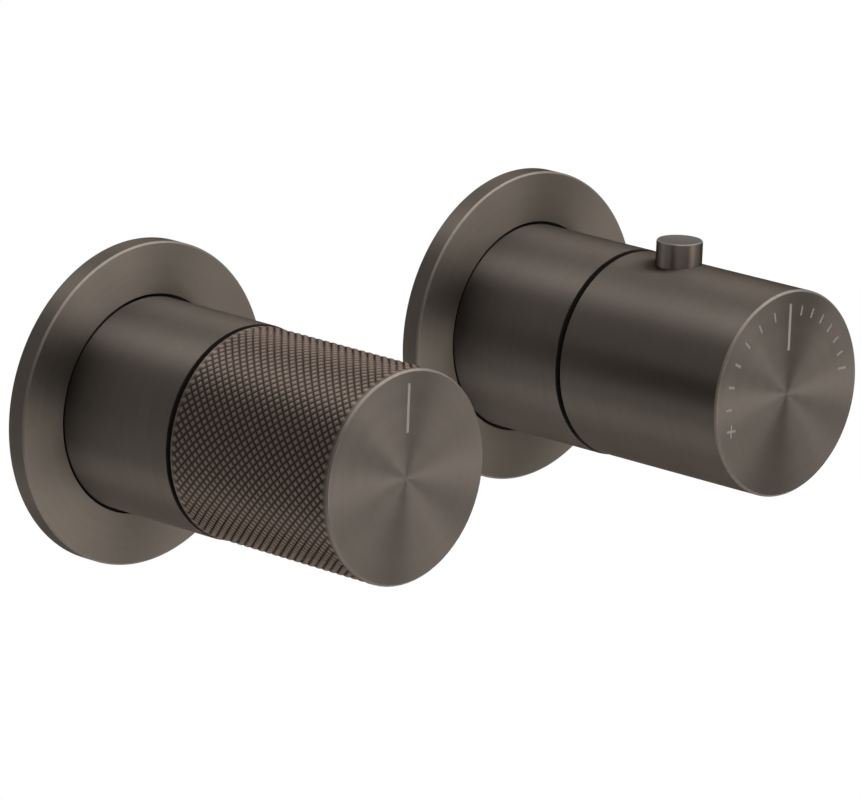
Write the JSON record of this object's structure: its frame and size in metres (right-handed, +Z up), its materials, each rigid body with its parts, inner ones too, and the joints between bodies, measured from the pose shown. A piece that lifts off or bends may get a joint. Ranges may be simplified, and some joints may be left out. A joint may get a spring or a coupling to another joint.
{
  "type": "thermostatic shower valve",
  "caption": "Concealed wall valve for a shower with a knurled flow handle and a temperature handle with a safety button, on round rosettes.",
  "frame": {"origin": "centre of the four fixing holes, on the back face of the body in the wall; the finished wall is the plane 60 mm in front of it", "axes": "+Z up, +Y into the wall, -Y out of the wall towards the user, +X to the right as the user faces the wall"},
  "size_m": [0.187, 0.142, 0.106],
  "materials": {
    "dark_brushed_steel": "dark warm grey coated steel, brushed round the barrels and spun on the faces",
    "brass": "turned and cast brass",
    "rubber": "moulded sealing rubber",
    "foam": "closed cell foam",
    "ceramic": null,
    "pale_polymer": "moulded glass filled polymer",
    "dark_polymer": "moulded nylon",
    "stainless_steel": "bright drawn or stamped",
    "copper": "drawn copper"
  },
  "bodies": {
    "valve": {"valve_body": "brass", "gallery_plug": "brass", "volume_rosette": "dark_brushed_steel", "temp_rosette": "dark_brushed_steel", "rosette_gaskets": "foam", "rosette_rings": "rubber", "volume_sleeve": "dark_brushed_steel", "temp_sleeve": "dark_brushed_steel", "sleeve_rings": "rubber", "headwork_body": "brass", "headwork_ring": "rubber", "seat_gasket": "rubber", "fixed_disc": "ceramic", "cartridge_housing": "pale_polymer", "cartridge_rings": "rubber", "cartridge_nut": "brass", "spring_seat": "stainless_steel", "stop_ring": "pale_polymer", "hot_check_housing": "pale_polymer", "cold_check_housing": "pale_polymer", "check_rings": "rubber", "inlet_strainers": "stainless_steel", "return_spring": "stainless_steel", "hot_check_spring": "stainless_steel", "cold_check_spring": "stainless_steel"},
    "volume_handle": {"volume_knob": "dark_brushed_steel", "volume_insert": "dark_polymer", "volume_insert_screw": "stainless_steel", "volume_grub_screw": "stainless_steel", "volume_spindle": "brass", "volume_clip": "stainless_steel", "volume_spindle_rings": "rubber", "moving_disc": "ceramic"},
    "temp_handle": {"temp_knob": "dark_brushed_steel", "temp_insert": "dark_polymer", "temp_insert_screw": "stainless_steel", "temp_grub_screw": "stainless_steel", "temp_spindle": "brass", "temp_clip": "stainless_steel", "temp_spindle_rings": "rubber", "button_spring": "stainless_steel"},
    "button": {"safety_button": "dark_brushed_steel", "button_clip": "stainless_steel"},
    "regulator": {"regulating_nut": "brass", "overload_spring": "stainless_steel", "thrust_cap": "stainless_steel", "thrust_clip": "stainless_steel", "wax_element": "copper", "shuttle": "pale_polymer", "shuttle_ring": "rubber"},
    "hot_poppet_body": {"hot_poppet": "pale_polymer"},
    "cold_poppet_body": {"cold_poppet": "pale_polymer"}
  },
  "joints": [
    {"name": "volume_turn", "type": "hinge", "parent": "valve", "child": "volume_handle", "pos_m": [-0.0585, -0.1, 0], "axis": [0, -1, 0], "range_deg": [0, 90]},
    {"name": "temp_turn", "type": "hinge", "parent": "valve", "child": "temp_handle", "pos_m": [0.0585, -0.1, 0], "axis": [0, -1, 0], "range_deg": [-90, 90]},
    {"name": "button_press", "type": "slide", "parent": "temp_handle", "child": "button", "axis": [0, 0, -1], "range_m": [0, 0.0025], "stiffness_N_per_m": 600, "springref_m": -0.002, "deforming": ["button_spring"]},
    {"name": "regulator_slide", "type": "slide", "parent": "valve", "child": "regulator", "axis": [0, -1, 0], "range_m": [-0.001, 0.001], "deforming": ["return_spring"]},
    {"name": "hot_check", "type": "slide", "parent": "valve", "child": "hot_poppet_body", "axis": [0, 0, 1], "range_m": [0, 0.003], "stiffness_N_per_m": 300, "springref_m": -0.003, "deforming": ["hot_check_spring"]},
    {"name": "cold_check", "type": "slide", "parent": "valve", "child": "cold_poppet_body", "axis": [0, 0, 1], "range_m": [0, 0.003], "stiffness_N_per_m": 300, "springref_m": -0.003, "deforming": ["cold_check_spring"]}
  ],
  "couplings": [
    {"joint": "regulator_slide", "follows": "temp_turn", "m_per_rad": 0.000636}
  ]
}
